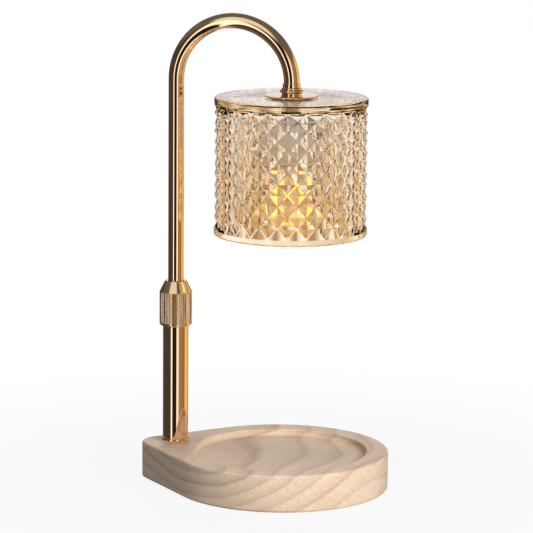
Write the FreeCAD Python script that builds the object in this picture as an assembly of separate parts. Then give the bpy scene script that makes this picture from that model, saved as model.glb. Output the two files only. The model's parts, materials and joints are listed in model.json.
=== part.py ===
"""Table lamp that warms from above: wooden foot, post with height collar, swan-neck arm and glass shade.

Millimetres, +Z up. The origin is on the underside, below the centre of the round recess in the foot.
+X points from the post towards the recess.
"""
import FreeCAD, Part
import math
import os

os.makedirs("parts", exist_ok=True)
Vector = FreeCAD.Vector

# Clearances between pieces
running_gap = 0.06
loose_gap = 0.2
skirt_gap = 0.3
push_gap = 0.02
axial_gap = 0.15
over_cut = 1.0

# Wooden foot: a disc drawn out to a small rounded end behind the post
disc_radius = 70.0
end_radius = 14.0
end_distance = 79.0
wood_thickness = 23.8
wood_edge_round = 1.4
recess_radius = 56.0
recess_depth = 4.3
recess_floor_round = 2.5
recess_rim_round = 0.8

# Non-slip pad, let into the underside and standing a little proud
pad_thickness = 2.0
pad_proud = 0.5
pad_inset = 3.0

# Steel weight under the recess
weight_radius = 44.5
weight_thickness = 6.0
weight_screw_count = 3
weight_screw_circle = 30.0
weight_screw_radius = 2.0
weight_screw_head_radius = 3.8
weight_screw_length = 13.0

# Post and what holds it to the foot
post_from_recess = 71.0
post_radius = 8.25
post_wall = 1.0
post_height = 88.7
flange_wall = 0.65
flange_height = 3.0
flange_edge_round = 0.5
foot_web = 6.3
foot_pocket_gap = 1.0
foot_nipple_radius = 5.0
foot_nipple_bore = 3.8
foot_nipple_below = 12.3
foot_plug_height = 12.0
foot_washer_radius = 10.0
foot_washer_thickness = 1.2
foot_nut_flats = 14.0
foot_nut_height = 4.0

# Lead inside the lamp, and the rubber gland in the back of the foot
lead_radius = 2.0
lead_height = 6.5
lead_bend_radius = 7.5
gland_radius = 4.0
gland_length = 6.0
gland_flange_radius = 5.4
gland_flange_thickness = 1.2
gland_bore_radius = 2.75
gland_grip_length = 2.0

# Threaded head in the top of the post, its collet and the clamping collar
head_plug_depth = 12.0
head_thread_step = 0.25
head_thread_height = 10.0
collet_seat_wall = 0.8
collet_seat_depth = 8.0
collet_above_head = 0.6
collet_taper_height = 3.4
collet_nose_wall = 0.55
collet_slot = 1.0
collar_wall = 2.25
collar_skirt = 11.0
collar_height = 29.5
collar_cone_height = 7.2
collar_nose_wall = 1.9
collar_plain_rim = 3.0
collar_rim_round = 1.6
flute_count = 54
flute_depth = 0.42
nose_bore_height = 3.0

# Swan-neck arm and the guide on its lower end
arm_radius = 5.0
arm_wall = 0.8
arm_reach = 76.5
arm_end_above_plug = 21.7
guide_height = 10.0
stop_ring_gap = 0.75
stop_ring_height = 2.0
ferrule_flange = 1.8
ferrule_insert = 8.0

# Turned fitting on the end of the arm, from its foot upwards
fitting_waist_inset = 1.2
fitting_waist_height = 1.6
fitting_bead_lip = 1.1
fitting_bead_height = 1.9
fitting_step_lip = 0.8
fitting_step_height = 1.3
fitting_neck_wall = 0.6
fitting_neck_height = 2.6
fitting_socket_depth = 3.6
fitting_bead_flat = 0.2
fitting_step_round = 0.5

# Glass shade: an inverted cup with raised diamond points between two plain bands
shade_gap_above_foot = 141.7
shade_band_radius = 49.0
shade_point_inset = 0.3
shade_point_relief = 1.6
shade_wall = 2.6
shade_roof = 5.0
shade_low_band = 4.0
shade_top_band = 4.5
shade_edge_round = 1.2
point_columns = 24
point_phase_degrees = -2.1
tall_rows = 8
tall_row_height = 7.0
short_rows = 4
short_row_height = 5.9

# What clamps the shade
gasket_thickness = 0.5
cap_washer_radius = 17.2
cap_washer_thickness = 0.8
gasket_radius = 14.0
shade_nipple_radius = 4.0
shade_nipple_bore = 3.0
clamp_washer_thickness = 1.0
clamp_nut_flats = 13.0
clamp_nut_height = 3.5
nipple_end_below_nut = 0.5

# Bridge and ceramic lamp holder
bridge_span = 26.0
bridge_width = 11.0
bridge_sheet = 1.0
bridge_drop = 11.1
bridge_foot_lap = 3.0
holder_radius = 13.5
holder_height = 18.0
holder_edge_round = 1.0
holder_screw_spread = 8.0
holder_screw_radius = 1.5
holder_screw_head_radius = 2.6
holder_screw_head_height = 2.0
holder_screw_above = 3.0
contact_thickness = 0.5

# Reflector bulb with a twist-lock base of two studs
stud_circle_radius = 5.0
stud_neck_radius = 1.5
stud_neck_height = 3.2
stud_head_radius = 2.5
stud_head_height = 3.0
stud_turn_degrees = 40.0
bulb_base_radius = 8.5
bulb_base_height = 15.0
bulb_rim_radius = 25.0
bulb_length = 46.0
bulb_glass = 1.4
bulb_neck_length = 5.0
bulb_rim_height = 4.0
bulb_bulge = 0.14
lens_thickness = 2.4
burner_radius = 4.5
burner_length = 17.0
burner_round = 3.6

# Places that follow from the sizes above
wood_bottom = pad_proud
foot_top = pad_proud + wood_thickness
recess_floor = foot_top - recess_depth
pad_seat = pad_thickness
post_x = -post_from_recess
post_bore = post_radius - post_wall
flange_radius = post_radius + flange_wall
foot_pocket_radius = foot_washer_radius + foot_pocket_gap
stop_ring_radius = post_bore - stop_ring_gap
head_thread_radius = post_bore - head_thread_step
collet_seat_radius = head_thread_radius - collet_seat_wall
collet_nose_radius = arm_radius + collet_nose_wall
collar_radius = post_radius + collar_wall
collar_nose_radius = arm_radius + collar_nose_wall
post_top = foot_top + post_height
pocket_top = foot_top - foot_web
plug_top = foot_top + foot_plug_height
head_bottom = post_top - head_plug_depth
head_top = post_top + head_thread_height
collet_bottom = head_top - collet_seat_depth + axial_gap
taper_bottom = head_top + collet_above_head
collet_top = taper_bottom + collet_taper_height
collar_bottom = post_top - collar_skirt
collar_top = collar_bottom + collar_height
cone_bottom = collar_top - collar_cone_height
arm_lead_end = plug_top + arm_end_above_plug
arm_bottom = arm_lead_end + ferrule_flange
guide_bottom = arm_bottom + axial_gap
stop_ring_bottom = guide_bottom + guide_height + axial_gap
shade_x = post_x + arm_reach
shade_bottom = foot_top + shade_gap_above_foot
points_bottom = shade_bottom + shade_low_band
points_height = tall_rows * tall_row_height + short_rows * short_row_height
points_top = points_bottom + points_height
shade_top = points_top + shade_top_band
ceiling = shade_top - shade_roof
shade_point_radius = shade_band_radius - shade_point_inset
shade_valley_radius = shade_point_radius - shade_point_relief
shade_bore = shade_valley_radius - shade_wall
washer_bottom = shade_top + gasket_thickness
fitting_bottom = washer_bottom + cap_washer_thickness
fitting_neck_radius = arm_radius + fitting_neck_wall
fitting_step_radius = fitting_neck_radius + fitting_step_lip
fitting_bead_radius = fitting_step_radius + fitting_bead_lip
fitting_waist_radius = fitting_bead_radius - fitting_waist_inset
fitting_bead_round = (fitting_bead_height - fitting_bead_flat) / 2
fitting_height = fitting_waist_height + fitting_bead_height + fitting_step_height + fitting_neck_height
bend_z = fitting_bottom + fitting_height
socket_floor = bend_z - fitting_socket_depth
clamp_washer_radius = bridge_span / 2
clamp_washer_top = ceiling - gasket_thickness
bridge_top = clamp_washer_top - clamp_washer_thickness
clamp_nut_top = bridge_top - bridge_sheet
clamp_nut_bottom = clamp_nut_top - clamp_nut_height
nipple_end = clamp_nut_bottom - nipple_end_below_nut
holder_top = bridge_top - bridge_drop
holder_bottom = holder_top - holder_height
bulb_top = holder_bottom - skirt_gap
bulb_front = bulb_top - bulb_length
stud_head_low = bulb_top + stud_neck_height
chamber_top = stud_head_low + stud_head_height + skirt_gap + contact_thickness

# The straight sides leave the disc at this angle from -X, and the gland sits square in the rear one
side_angle = math.acos((disc_radius - end_radius) / end_distance)
gland_direction = Vector(-math.cos(side_angle), math.sin(side_angle), 0)
post_to_side = disc_radius - post_from_recess * math.cos(side_angle)


def rod(radius, low, high, x=0.0, y=0.0):
    return Part.makeCylinder(radius, high - low, Vector(x, y, low))


def ring(outer, inner, low, high, x=0.0, y=0.0):
    hole = rod(inner, low - over_cut, high + over_cut, x, y)
    return rod(outer, low, high, x, y).cut(hole)


def block(size_x, size_y, low, high, x=0.0, y=0.0):
    corner = Vector(x - size_x / 2, y - size_y / 2, low)
    return Part.makeBox(size_x, size_y, high - low, corner)


def hexagon(flats, low, high, x=0.0, y=0.0):
    corner = flats / math.sqrt(3)
    points = []
    for k in range(7):
        angle = math.radians(60 * k)
        points.append(Vector(x + corner * math.cos(angle), y + corner * math.sin(angle), low))
    return Part.Face(Part.makePolygon(points)).extrude(Vector(0, 0, high - low))


def turned(outline, x=0.0, y=0.0):
    """Turns a closed outline of (radius, height) points about an upright axis."""
    points = [Vector(x + radius, y, height) for radius, height in outline]
    face = Part.Face(Part.makePolygon(points + [points[0]]))
    return face.revolve(Vector(x, y, 0), Vector(0, 0, 1), 360)


def round_edges_at(shape, height, radius, only=None):
    """Rounds the edges that lie flat at one height, or only the circle of the radius given."""
    chosen = []
    for edge in shape.Edges:
        box = edge.BoundBox
        if abs(box.ZMin - height) > 0.001 or abs(box.ZMax - height) > 0.001:
            continue
        if only is not None and abs(box.XLength / 2 - only) > 0.01:
            continue
        chosen.append(edge)
    return shape.makeFillet(radius, chosen)


def neck_rod(radius, start, end):
    """A round rod up the post's axis, over the half-circle bend and down the shade's axis."""
    up = rod(radius, start, bend_z, post_x)
    down = rod(radius, end, bend_z, shade_x)
    circle = Part.Circle(Vector(post_x, 0, bend_z), Vector(0, 0, 1), radius)
    disc = Part.Face(Part.Wire(circle.toShape()))
    middle = Vector(post_x + arm_reach / 2, 0, bend_z)
    over = disc.revolve(middle, Vector(0, 1, 0), 180)
    return up.fuse([over, down]).removeSplitter()


def foot_outline(inset, height):
    """The teardrop plan of the foot, drawn in by an inset."""
    big = disc_radius - inset
    small = end_radius - inset
    side_x = math.cos(side_angle)
    side_y = math.sin(side_angle)
    big_back = Vector(-big * side_x, big * side_y, height)
    big_front = Vector(-big * side_x, -big * side_y, height)
    small_back = Vector(-end_distance - small * side_x, small * side_y, height)
    small_front = Vector(-end_distance - small * side_x, -small * side_y, height)
    around = Part.Arc(big_back, Vector(big, 0, height), big_front).toShape()
    tip = Part.Arc(small_front, Vector(-end_distance - small, 0, height), small_back).toShape()
    front = Part.LineSegment(big_front, small_front).toShape()
    back = Part.LineSegment(small_back, big_back).toShape()
    return Part.Face(Part.Wire([around, front, tip, back]))


def gland_rod(radius, start, end):
    """A rod square to the rear side of the foot, from one distance to another from the post's axis."""
    foot = Vector(post_x, 0, lead_height) + gland_direction * start
    return Part.makeCylinder(radius, end - start, foot, gland_direction)


def weight_screw_places():
    places = []
    for k in range(weight_screw_count):
        angle = 2 * math.pi * k / weight_screw_count
        places.append((weight_screw_circle * math.cos(angle), weight_screw_circle * math.sin(angle)))
    return places


def countersunk_screw(x, y, low, grow):
    """A countersunk screw that points up, or with a gap the hole that it passes through."""
    head_height = weight_screw_head_radius - weight_screw_radius
    outline = [
        (0, low),
        (weight_screw_head_radius + grow, low),
        (weight_screw_radius + grow, low + head_height),
        (weight_screw_radius + grow, low + weight_screw_length + grow),
        (0, low + weight_screw_length + grow),
    ]
    return turned(outline, x, y)


def wooden_foot():
    body = foot_outline(0, wood_bottom).extrude(Vector(0, 0, wood_thickness))
    body = round_edges_at(body, foot_top, wood_edge_round)
    body = round_edges_at(body, wood_bottom, wood_edge_round)
    recess = rod(recess_radius, recess_floor, foot_top + over_cut)
    recess = round_edges_at(recess, recess_floor, recess_floor_round)
    body = body.cut(recess)
    body = round_edges_at(body, foot_top, recess_rim_round, only=recess_radius)
    pad_pocket = foot_outline(pad_inset - running_gap, wood_bottom - over_cut)
    pad_pocket = pad_pocket.extrude(Vector(0, 0, pad_seat - wood_bottom + over_cut))
    weight_pocket = rod(weight_radius + loose_gap, wood_bottom, pad_seat + weight_thickness)
    nut_pocket = rod(foot_pocket_radius, wood_bottom, pocket_top, post_x)
    nipple_hole = rod(foot_nipple_radius + loose_gap, wood_bottom, foot_top + over_cut, post_x)
    gland_hole = gland_rod(gland_radius + running_gap, 0, post_to_side + over_cut)
    screw_holes = [countersunk_screw(x, y, pad_seat, push_gap) for x, y in weight_screw_places()]
    return body.cut([pad_pocket, weight_pocket, nut_pocket, nipple_hole, gland_hole] + screw_holes)


def non_slip_pad():
    return foot_outline(pad_inset, 0).extrude(Vector(0, 0, pad_thickness))


def steel_weight():
    plate = rod(weight_radius, pad_seat, pad_seat + weight_thickness)
    return plate.cut([countersunk_screw(x, y, pad_seat, push_gap) for x, y in weight_screw_places()])


def weight_screws():
    return Part.makeCompound([countersunk_screw(x, y, pad_seat, 0) for x, y in weight_screw_places()])


def cord_gland():
    inner_end = post_to_side - gland_length
    body = gland_rod(gland_radius, inner_end, post_to_side)
    flange = gland_rod(gland_flange_radius, post_to_side, post_to_side + gland_flange_thickness)
    grip = gland_rod(lead_radius + running_gap, inner_end - over_cut, post_to_side)
    outer_end = post_to_side + gland_flange_thickness + over_cut
    bore = gland_rod(gland_bore_radius, inner_end + gland_grip_length, outer_end)
    return body.fuse(flange).removeSplitter().cut([grip, bore])


def foot_lead():
    """From the gland across the nut's pocket, up a bend and through the nipple to the plug's top."""
    across = gland_rod(lead_radius, lead_bend_radius, post_to_side - gland_length + gland_grip_length)
    start = Vector(post_x, 0, lead_height) + gland_direction * lead_bend_radius
    circle = Part.Circle(start, gland_direction, lead_radius)
    disc = Part.Face(Part.Wire(circle.toShape()))
    side = Vector(0, 0, 1).cross(gland_direction)
    bend = disc.revolve(start + Vector(0, 0, lead_bend_radius), side, 90)
    upright = rod(lead_radius, lead_height + lead_bend_radius, plug_top, post_x)
    return across.fuse([bend, upright]).removeSplitter()


def foot_washer():
    low = pocket_top - foot_washer_thickness
    return ring(foot_washer_radius, foot_nipple_radius + loose_gap, low, pocket_top, post_x)


def foot_nut():
    high = pocket_top - foot_washer_thickness
    low = high - foot_nut_height
    body = hexagon(foot_nut_flats, low, high, post_x)
    return body.cut(rod(foot_nipple_radius + push_gap, low - over_cut, high + over_cut, post_x))


def foot_nipple():
    low = foot_top - foot_nipple_below
    return ring(foot_nipple_radius, foot_nipple_bore, low, plug_top - over_cut, post_x)


def post_plug():
    return ring(post_bore - push_gap, foot_nipple_radius + push_gap, foot_top, plug_top, post_x)


def post_tube():
    return ring(post_radius, post_bore, foot_top, post_top, post_x)


def post_flange():
    body = ring(flange_radius, post_radius + push_gap, foot_top, foot_top + flange_height, post_x)
    return round_edges_at(body, foot_top + flange_height, flange_edge_round, only=flange_radius)


def slack_lead():
    return rod(lead_radius, plug_top, arm_lead_end, post_x)


def post_head():
    """Pressed into the post, with an outside thread for the collar and a seat for the collet."""
    outline = [
        (arm_radius + loose_gap, head_bottom),
        (post_bore - push_gap, head_bottom),
        (post_bore - push_gap, post_top),
        (head_thread_radius, post_top),
        (head_thread_radius, head_top),
        (collet_seat_radius, head_top),
        (collet_seat_radius, head_top - collet_seat_depth),
        (arm_radius + loose_gap, head_top - collet_seat_depth),
    ]
    return turned(outline, post_x)


def split_collet():
    outer = collet_seat_radius - running_gap
    outline = [
        (arm_radius + running_gap, collet_bottom),
        (outer, collet_bottom),
        (outer, taper_bottom),
        (collet_nose_radius, collet_top),
        (arm_radius + running_gap, collet_top),
    ]
    slot_bottom = collet_bottom + collet_slot
    slot = block(collet_slot, 2 * collet_seat_radius, slot_bottom, collet_top + over_cut, post_x)
    return turned(outline, post_x).cut(slot)


def fluted_band(low, high):
    """A cylinder with fine upright grooves, as a star of straight lines."""
    points = []
    for k in range(2 * flute_count + 1):
        angle = math.pi * k / flute_count
        radius = collar_radius - flute_depth * (k % 2)
        points.append(Vector(post_x + radius * math.cos(angle), radius * math.sin(angle), low))
    return Part.Face(Part.makePolygon(points)).extrude(Vector(0, 0, high - low))


def clamping_collar():
    flutes_bottom = collar_bottom + collar_plain_rim
    rim = rod(collar_radius, collar_bottom, flutes_bottom, post_x)
    rim = round_edges_at(rim, collar_bottom, collar_rim_round)
    cone = Part.makeCone(
        collar_radius, collar_nose_radius, collar_cone_height, Vector(post_x, 0, cone_bottom)
    )
    body = rim.fuse([fluted_band(flutes_bottom, cone_bottom), cone])
    seat_radius = collet_seat_radius + skirt_gap
    nose_bottom = collar_top - nose_bore_height
    cavity = [
        (0, collar_bottom - over_cut),
        (post_radius + skirt_gap, collar_bottom - over_cut),
        (post_radius + skirt_gap, post_top + axial_gap),
        (head_thread_radius + running_gap, post_top + axial_gap),
        (head_thread_radius + running_gap, head_top + axial_gap),
        (seat_radius, head_top + axial_gap),
        (seat_radius, taper_bottom),
        (collet_nose_radius + skirt_gap, collet_top + skirt_gap),
        (arm_radius + skirt_gap, max(nose_bottom, collet_top + skirt_gap + axial_gap)),
        (arm_radius + skirt_gap, collar_top + over_cut),
        (0, collar_top + over_cut),
    ]
    return body.cut(turned(cavity, post_x))


def guide_bush():
    guide_top = guide_bottom + guide_height
    return ring(post_bore - running_gap, arm_radius + running_gap, guide_bottom, guide_top, post_x)


def arm_tube():
    outer = neck_rod(arm_radius, arm_bottom, socket_floor)
    inner = neck_rod(arm_radius - arm_wall, arm_bottom - over_cut, socket_floor - over_cut)
    return outer.cut(inner)


def stop_ring():
    high = stop_ring_bottom + stop_ring_height
    return ring(stop_ring_radius, arm_radius + push_gap, stop_ring_bottom, high, post_x)


def end_ferrule():
    insert_top = arm_bottom + ferrule_insert
    flange = rod(stop_ring_radius, arm_lead_end, arm_bottom, post_x)
    insert = rod(arm_radius - arm_wall - push_gap, arm_bottom, insert_top, post_x)
    bore = rod(lead_radius + loose_gap, arm_lead_end - over_cut, insert_top + over_cut, post_x)
    return flange.fuse(insert).cut(bore)


def arm_lead():
    return neck_rod(lead_radius, arm_lead_end, holder_top)


def arm_end_fitting():
    waist_top = fitting_bottom + fitting_waist_height
    bead_top = waist_top + fitting_bead_height
    step_top = bead_top + fitting_step_height
    outline = [
        (0, fitting_bottom),
        (fitting_waist_radius, fitting_bottom),
        (fitting_waist_radius, waist_top),
        (fitting_bead_radius, waist_top),
        (fitting_bead_radius, bead_top),
        (fitting_step_radius, bead_top),
        (fitting_step_radius, step_top),
        (fitting_neck_radius, step_top),
        (fitting_neck_radius, bend_z),
        (0, bend_z),
    ]
    body = turned(outline, shade_x)
    body = round_edges_at(body, bead_top, fitting_bead_round, only=fitting_bead_radius)
    body = round_edges_at(body, waist_top, fitting_bead_round, only=fitting_bead_radius)
    body = round_edges_at(body, step_top, fitting_step_round, only=fitting_step_radius)
    socket = rod(arm_radius + push_gap, socket_floor, bend_z + over_cut, shade_x)
    thread_radius = shade_nipple_radius + push_gap
    thread = rod(thread_radius, fitting_bottom - over_cut, socket_floor + over_cut, shade_x)
    return body.cut([socket, thread])


def cap_washer():
    bore = shade_nipple_radius + loose_gap
    return ring(cap_washer_radius, bore, washer_bottom, fitting_bottom, shade_x)


def upper_gasket():
    return ring(gasket_radius, shade_nipple_radius + loose_gap, shade_top, washer_bottom, shade_x)


def lower_gasket():
    bore = shade_nipple_radius + loose_gap
    return ring(clamp_washer_radius, bore, clamp_washer_top, ceiling, shade_x)


def diamond_body():
    """The pointed wall as a block: every second lattice point stands out, with four facets around it."""
    heights = [points_bottom]
    for k in range(tall_rows + short_rows):
        step = tall_row_height if k < tall_rows else short_row_height
        heights.append(heights[-1] + step)
    columns = 2 * point_columns
    rows = []
    for j, height in enumerate(heights):
        row = []
        for k in range(columns):
            radius = shade_point_radius if (j + k) % 2 else shade_valley_radius
            angle = math.radians(point_phase_degrees) + 2 * math.pi * k / columns
            row.append(Vector(shade_x + radius * math.cos(angle), radius * math.sin(angle), height))
        rows.append(row)
    faces = [Part.Face(Part.makePolygon(rows[0] + rows[0][:1]))]
    faces.append(Part.Face(Part.makePolygon(rows[-1] + rows[-1][:1])))
    for j in range(len(rows) - 1):
        for k in range(columns):
            after = (k + 1) % columns
            a, b, c, d = rows[j][k], rows[j][after], rows[j + 1][after], rows[j + 1][k]
            split = ((a, b, c), (a, c, d)) if (j + k) % 2 == 0 else ((a, b, d), (b, c, d))
            for corners in split:
                faces.append(Part.Face(Part.makePolygon(list(corners) + [corners[0]])))
    return Part.makeSolid(Part.makeShell(faces))


def glass_shade():
    low_band = rod(shade_band_radius, shade_bottom, points_bottom, shade_x)
    top_band = rod(shade_band_radius, points_top, shade_top, shade_x)
    low_band = round_edges_at(low_band, shade_bottom, shade_edge_round)
    top_band = round_edges_at(top_band, shade_top, shade_edge_round)
    body = diamond_body().fuse([low_band, top_band])
    hollow = rod(shade_bore, shade_bottom - over_cut, ceiling, shade_x)
    hole = rod(shade_nipple_radius + loose_gap, ceiling - over_cut, shade_top + over_cut, shade_x)
    return body.cut([hollow, hole])


def shade_nipple():
    return ring(shade_nipple_radius, shade_nipple_bore, nipple_end, socket_floor - push_gap, shade_x)


def clamp_washer():
    bore = shade_nipple_radius + loose_gap
    return ring(clamp_washer_radius, bore, bridge_top, clamp_washer_top, shade_x)


def clamp_nut():
    body = hexagon(clamp_nut_flats, clamp_nut_bottom, clamp_nut_top, shade_x)
    bore_radius = shade_nipple_radius + push_gap
    return body.cut(rod(bore_radius, clamp_nut_bottom - over_cut, clamp_nut_top + over_cut, shade_x))


def holder_bridge():
    """A folded strip: a top plate on the nipple, two legs down and two feet turned in over the holder."""
    plate = block(bridge_width, bridge_span, clamp_nut_top, bridge_top, shade_x)
    foot_high = holder_top + bridge_sheet
    foot_inside = holder_screw_spread - bridge_foot_lap
    foot_length = bridge_span / 2 - foot_inside
    folds = []
    holes = [rod(shade_nipple_radius + loose_gap, clamp_nut_top, bridge_top, shade_x)]
    for side in (-1, 1):
        leg_y = side * (bridge_span - bridge_sheet) / 2
        foot_y = side * (foot_inside + foot_length / 2)
        screw_y = side * holder_screw_spread
        folds.append(block(bridge_width, bridge_sheet, holder_top, bridge_top, shade_x, leg_y))
        folds.append(block(bridge_width, foot_length, holder_top, foot_high, shade_x, foot_y))
        holes.append(rod(holder_screw_radius + push_gap, holder_top, foot_high, shade_x, screw_y))
    return plate.fuse(folds).removeSplitter().cut(holes)


def curved_slot(width, low, high):
    """Two slots on the stud circle, each long enough for the studs' turn back from the locked place."""
    inner = stud_circle_radius - width / 2
    outer = stud_circle_radius + width / 2
    outline = [(inner, low), (outer, low), (outer, high), (inner, high)]
    points = [Vector(shade_x + radius, 0, height) for radius, height in outline]
    section = Part.Face(Part.makePolygon(points + [points[0]]))
    axis_point = Vector(shade_x, 0, 0)
    sweep = section.revolve(axis_point, Vector(0, 0, 1), -stud_turn_degrees)
    locked_end = rod(width / 2, low, high, shade_x + stud_circle_radius)
    free_end = locked_end.copy()
    free_end.rotate(axis_point, Vector(0, 0, 1), -stud_turn_degrees)
    one = sweep.fuse([locked_end, free_end]).removeSplitter()
    other = one.copy()
    other.rotate(axis_point, Vector(0, 0, 1), 180)
    return [one, other]


def lamp_holder():
    body = rod(holder_radius, holder_bottom, holder_top, shade_x)
    body = round_edges_at(body, holder_bottom, holder_edge_round)
    neck_width = 2 * (stud_neck_radius + skirt_gap)
    head_width = 2 * (stud_head_radius + skirt_gap)
    holes = curved_slot(neck_width, holder_bottom, chamber_top)
    holes.extend(curved_slot(head_width, stud_head_low - skirt_gap, chamber_top))
    sunk = holder_bottom + holder_screw_head_height
    for side in (-1, 1):
        screw_y = side * holder_screw_spread
        holes.append(rod(holder_screw_radius + push_gap, holder_bottom, holder_top, shade_x, screw_y))
        holes.append(rod(holder_screw_head_radius + push_gap, holder_bottom, sunk, shade_x, screw_y))
    return body.cut(holes)


def holder_contacts():
    """A spring leaf in the roof of each chamber, above the studs."""
    leaves = curved_slot(2 * stud_neck_radius, chamber_top - contact_thickness, chamber_top)
    return Part.makeCompound(leaves)


def holder_screws():
    screws = []
    for side in (-1, 1):
        screw_y = side * holder_screw_spread
        sunk = holder_bottom + holder_screw_head_height
        head = rod(holder_screw_head_radius, holder_bottom, sunk, shade_x, screw_y)
        shank = rod(holder_screw_radius, sunk, holder_top + holder_screw_above, shade_x, screw_y)
        screws.append(head.fuse(shank).removeSplitter())
    return Part.makeCompound(screws)


def bulb_base():
    low = bulb_top - bulb_base_height
    body = rod(bulb_base_radius, low, bulb_top, shade_x)
    return round_edges_at(body, bulb_top, holder_edge_round)


def bulb_studs():
    studs = []
    for side in (-1, 1):
        stud_x = shade_x + side * stud_circle_radius
        neck_top = bulb_top + stud_neck_height
        neck = rod(stud_neck_radius, bulb_top, neck_top, stud_x)
        head = rod(stud_head_radius, neck_top, neck_top + stud_head_height, stud_x)
        studs.append(neck.fuse(head).removeSplitter())
    return Part.makeCompound(studs)


def bowl_curve(neck_radius, rim_radius, neck_z, rim_z):
    """The arc of the bowl's flank, from the neck out to the rim, bulging outwards."""
    neck = Vector(shade_x + neck_radius, 0, neck_z)
    rim = Vector(shade_x + rim_radius, 0, rim_z)
    outwards = Vector(neck_z - rim_z, 0, rim_radius - neck_radius)
    return neck, (neck + rim) * 0.5 + outwards * bulb_bulge, rim


def bulb_reflector():
    """A flared glass bowl: a neck round the base, a curved flank and a short straight rim."""
    neck_bottom = bulb_top - bulb_base_height
    neck_top = neck_bottom + bulb_neck_length
    neck_inner = bulb_base_radius + running_gap
    neck_outer = neck_inner + bulb_glass
    rim_inner = bulb_rim_radius - bulb_glass
    rim_top = bulb_front + bulb_rim_height
    outside = bowl_curve(neck_outer, bulb_rim_radius, neck_bottom, rim_top)
    inside = bowl_curve(neck_inner, rim_inner, neck_bottom, rim_top)
    corners = [
        outside[2],
        Vector(shade_x + bulb_rim_radius, 0, bulb_front),
        Vector(shade_x + rim_inner, 0, bulb_front),
        inside[2],
    ]
    neck_corners = [
        inside[0],
        Vector(shade_x + neck_inner, 0, neck_top),
        Vector(shade_x + neck_outer, 0, neck_top),
        outside[0],
    ]
    edges = [Part.Arc(*outside).toShape()]
    for first, second in zip(corners, corners[1:]):
        edges.append(Part.LineSegment(first, second).toShape())
    edges.append(Part.Arc(inside[2], inside[1], inside[0]).toShape())
    for first, second in zip(neck_corners, neck_corners[1:]):
        edges.append(Part.LineSegment(first, second).toShape())
    face = Part.Face(Part.Wire(edges))
    return face.revolve(Vector(shade_x, 0, 0), Vector(0, 0, 1), 360)


def bulb_lens():
    radius = bulb_rim_radius - bulb_glass - push_gap
    return rod(radius, bulb_front, bulb_front + lens_thickness, shade_x)


def bulb_burner():
    high = bulb_top - bulb_base_height
    body = rod(burner_radius, high - burner_length, high, shade_x)
    return round_edges_at(body, high - burner_length, burner_round)


pieces = {
    "wooden_foot": wooden_foot,
    "non_slip_pad": non_slip_pad,
    "steel_weight": steel_weight,
    "weight_screws": weight_screws,
    "cord_gland": cord_gland,
    "foot_lead": foot_lead,
    "foot_washer": foot_washer,
    "foot_nut": foot_nut,
    "foot_nipple": foot_nipple,
    "post_plug": post_plug,
    "post_tube": post_tube,
    "post_flange": post_flange,
    "post_head": post_head,
    "slack_lead": slack_lead,
    "split_collet": split_collet,
    "clamping_collar": clamping_collar,
    "guide_bush": guide_bush,
    "arm_tube": arm_tube,
    "stop_ring": stop_ring,
    "end_ferrule": end_ferrule,
    "arm_lead": arm_lead,
    "arm_end_fitting": arm_end_fitting,
    "cap_washer": cap_washer,
    "upper_gasket": upper_gasket,
    "lower_gasket": lower_gasket,
    "glass_shade": glass_shade,
    "shade_nipple": shade_nipple,
    "clamp_washer": clamp_washer,
    "clamp_nut": clamp_nut,
    "holder_bridge": holder_bridge,
    "lamp_holder": lamp_holder,
    "holder_contacts": holder_contacts,
    "holder_screws": holder_screws,
    "bulb_base": bulb_base,
    "bulb_studs": bulb_studs,
    "bulb_reflector": bulb_reflector,
    "bulb_lens": bulb_lens,
    "bulb_burner": bulb_burner,
}

for node, make in pieces.items():
    shape = make()
    shape.exportStep("parts/" + node + ".step")
    print(f"{node}: {len(shape.Solids)} solid(s), {shape.Volume:.1f} mm3")
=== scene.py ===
import json
import math
import bmesh
import bpy
from mathutils import Matrix, Vector


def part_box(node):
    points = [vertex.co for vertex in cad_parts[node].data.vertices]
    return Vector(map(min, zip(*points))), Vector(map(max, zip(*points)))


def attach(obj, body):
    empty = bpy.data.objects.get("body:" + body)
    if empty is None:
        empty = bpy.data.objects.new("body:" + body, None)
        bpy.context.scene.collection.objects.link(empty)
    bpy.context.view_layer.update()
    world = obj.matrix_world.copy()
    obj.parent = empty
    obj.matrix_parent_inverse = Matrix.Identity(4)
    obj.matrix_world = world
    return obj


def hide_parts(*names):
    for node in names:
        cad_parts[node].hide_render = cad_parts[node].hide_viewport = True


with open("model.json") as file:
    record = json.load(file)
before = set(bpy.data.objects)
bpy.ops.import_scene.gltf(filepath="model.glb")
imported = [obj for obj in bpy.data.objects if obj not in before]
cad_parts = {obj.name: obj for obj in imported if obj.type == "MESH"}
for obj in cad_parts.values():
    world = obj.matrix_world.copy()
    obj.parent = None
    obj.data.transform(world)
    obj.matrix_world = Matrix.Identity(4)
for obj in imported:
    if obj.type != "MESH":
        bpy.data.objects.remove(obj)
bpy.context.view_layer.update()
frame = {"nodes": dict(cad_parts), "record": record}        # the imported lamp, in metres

scene = bpy.context.scene
mm = 0.001
print("frame loaded:", len(frame["nodes"]), "nodes")


# Places read from the frame

postLow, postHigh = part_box("post_tube")
armLow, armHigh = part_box("arm_tube")
shadeLow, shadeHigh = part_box("glass_shade")
fittingLow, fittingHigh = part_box("arm_end_fitting")
postX = (postLow.x + postHigh.x) / 2
postRadius = (postHigh.x - postLow.x) / 2
armRadius = (armHigh.y - armLow.y) / 2
shadeX = (shadeLow.x + shadeHigh.x) / 2
shadeRadius = (shadeHigh.y - shadeLow.y) / 2
armReach = armHigh.x - armLow.x - 2 * armRadius
bendZ = armHigh.z - armRadius - armReach / 2


# Node helpers

def addNode(tree, kind, **settings):
    node = tree.nodes.new(kind)
    for key, value in settings.items():
        setattr(node, key, value)
    return node


def wire(tree, source, target):
    tree.links.new(source, target)


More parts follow.
